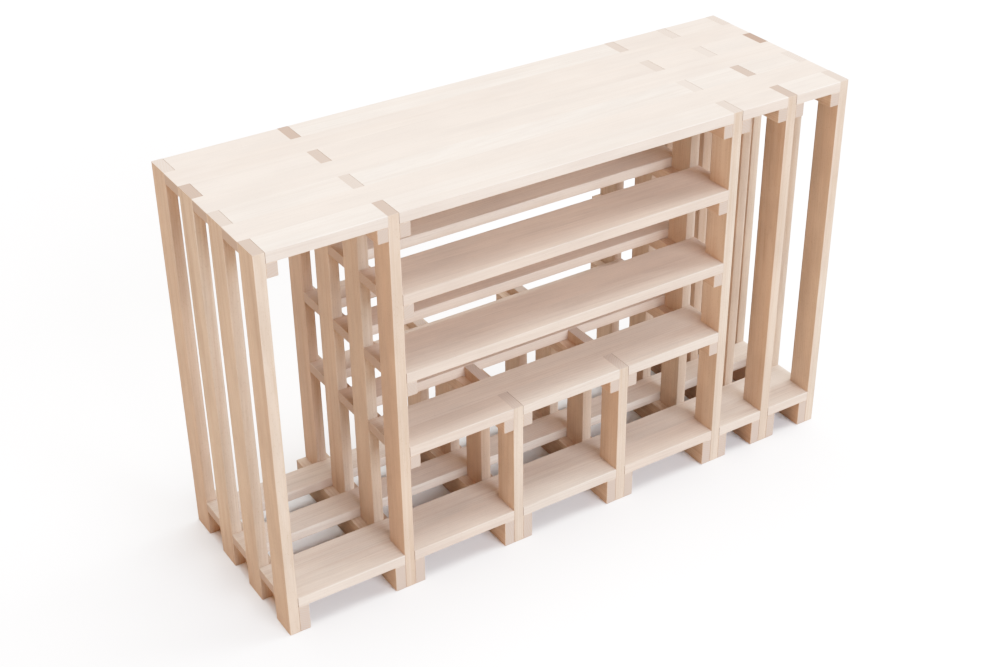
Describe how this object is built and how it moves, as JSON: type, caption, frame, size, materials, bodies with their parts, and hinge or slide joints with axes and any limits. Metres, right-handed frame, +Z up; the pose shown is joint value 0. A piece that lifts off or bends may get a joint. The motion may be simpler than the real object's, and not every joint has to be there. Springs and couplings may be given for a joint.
{
  "type": "wine rack",
  "caption": "Low freestanding slatted timber wine rack: open frames, a closed top, shelves, compartments and columns for lying bottles.",
  "frame": {"origin": "centre of the footprint, at floor level", "axes": "+X to the right along the length, +Y from the front to the back, +Z up"},
  "size_m": [1.017, 0.332, 0.64],
  "materials": {
    "slat_wood": "oiled pale beech, fine sanded, satin",
    "board_wood": "oiled pale beech, fine sanded, satin",
    "batten_wood": "oiled pale beech, fine sanded, satin",
    "dowel_wood": "plain turned beech"
  },
  "bodies": {
    "root": {"left_end_slat_front": "slat_wood", "left_end_slat_midfront": "slat_wood", "left_end_slat_midrear": "slat_wood", "left_end_slat_rear": "slat_wood", "left_bay_slat_front": "slat_wood", "left_bay_slat_midfront": "slat_wood", "left_bay_slat_midrear": "slat_wood", "left_bay_slat_rear": "slat_wood", "short_left_slat_front": "slat_wood", "short_left_slat_midfront": "slat_wood", "short_left_slat_midrear": "slat_wood", "short_left_slat_rear": "slat_wood", "short_right_slat_front": "slat_wood", "short_right_slat_midfront": "slat_wood", "short_right_slat_midrear": "slat_wood", "short_right_slat_rear": "slat_wood", "right_bay_slat_front": "slat_wood", "right_bay_slat_midfront": "slat_wood", "right_bay_slat_midrear": "slat_wood", "right_bay_slat_rear": "slat_wood", "column_slat_front": "slat_wood", "column_slat_midfront": "slat_wood", "column_slat_midrear": "slat_wood", "column_slat_rear": "slat_wood", "right_end_slat_front": "slat_wood", "right_end_slat_midfront": "slat_wood", "right_end_slat_midrear": "slat_wood", "right_end_slat_rear": "slat_wood", "top_rail_front": "board_wood", "top_rail_middle": "board_wood", "top_rail_rear": "board_wood", "top_infill_front": "board_wood", "top_infill_midfront": "board_wood", "top_infill_midrear": "board_wood", "top_infill_rear": "board_wood", "shelf_1_rail_front": "board_wood", "shelf_1_rail_middle": "board_wood", "shelf_1_rail_rear": "board_wood", "shelf_1_infill_front": "board_wood", "shelf_2_rail_front": "board_wood", "shelf_2_rail_middle": "board_wood", "shelf_2_rail_rear": "board_wood", "shelf_2_infill_front": "board_wood", "shelf_3_rail_front": "board_wood", "shelf_3_rail_middle": "board_wood", "shelf_3_rail_rear": "board_wood", "shelf_3_infill_front": "board_wood", "base_rail_front": "board_wood", "base_rail_middle": "board_wood", "base_rail_rear": "board_wood", "base_infill_front": "board_wood", "top_ledgers": "batten_wood", "shelf_ledgers": "batten_wood", "floor_runners": "batten_wood", "hidden_dowels": "dowel_wood"}
  },
  "joints": []
}
